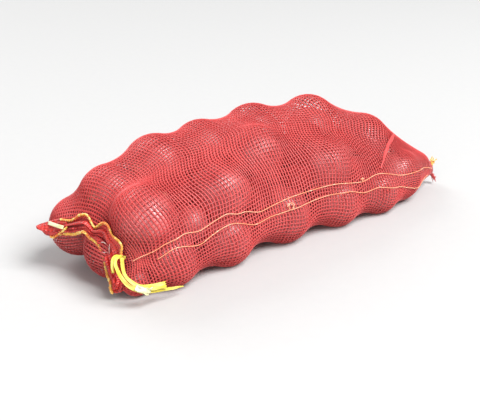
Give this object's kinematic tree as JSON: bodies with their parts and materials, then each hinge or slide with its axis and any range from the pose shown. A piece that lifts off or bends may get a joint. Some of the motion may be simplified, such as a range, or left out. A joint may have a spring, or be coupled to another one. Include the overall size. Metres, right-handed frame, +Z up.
{
  "type": "net of red onions",
  "caption": "Knitted red net filled with red onions, lying on its side, mouth drawn shut with a flat yellow tape, far end gathered to a stub",
  "frame": {"origin": "on the resting surface, under the middle of the sack", "axes": "+X from the drawn mouth to the gathered far end, +Z up, -Y the side with the seam threads"},
  "size_m": [0.4933, 0.1645, 0.1224],
  "materials": {
    "net": "red knitted plastic net, soft sheen",
    "edging": "orange stitched edging",
    "seam_thread": "cream and orange thread",
    "tape": "yellow woven plastic tape"
  },
  "bodies": {
    "root": {"net_sack": "net", "edging_upper": "edging", "edging_lower": "edging", "edging_flap": "edging", "seam_thread_upper": "seam_thread", "seam_thread_lower": "seam_thread", "tape_knot": "tape", "tape_tail_short": "tape", "tape_tail_long": "tape", "tape_at_flap": "tape", "far_thread_tuft": "tape"}
  },
  "joints": []
}
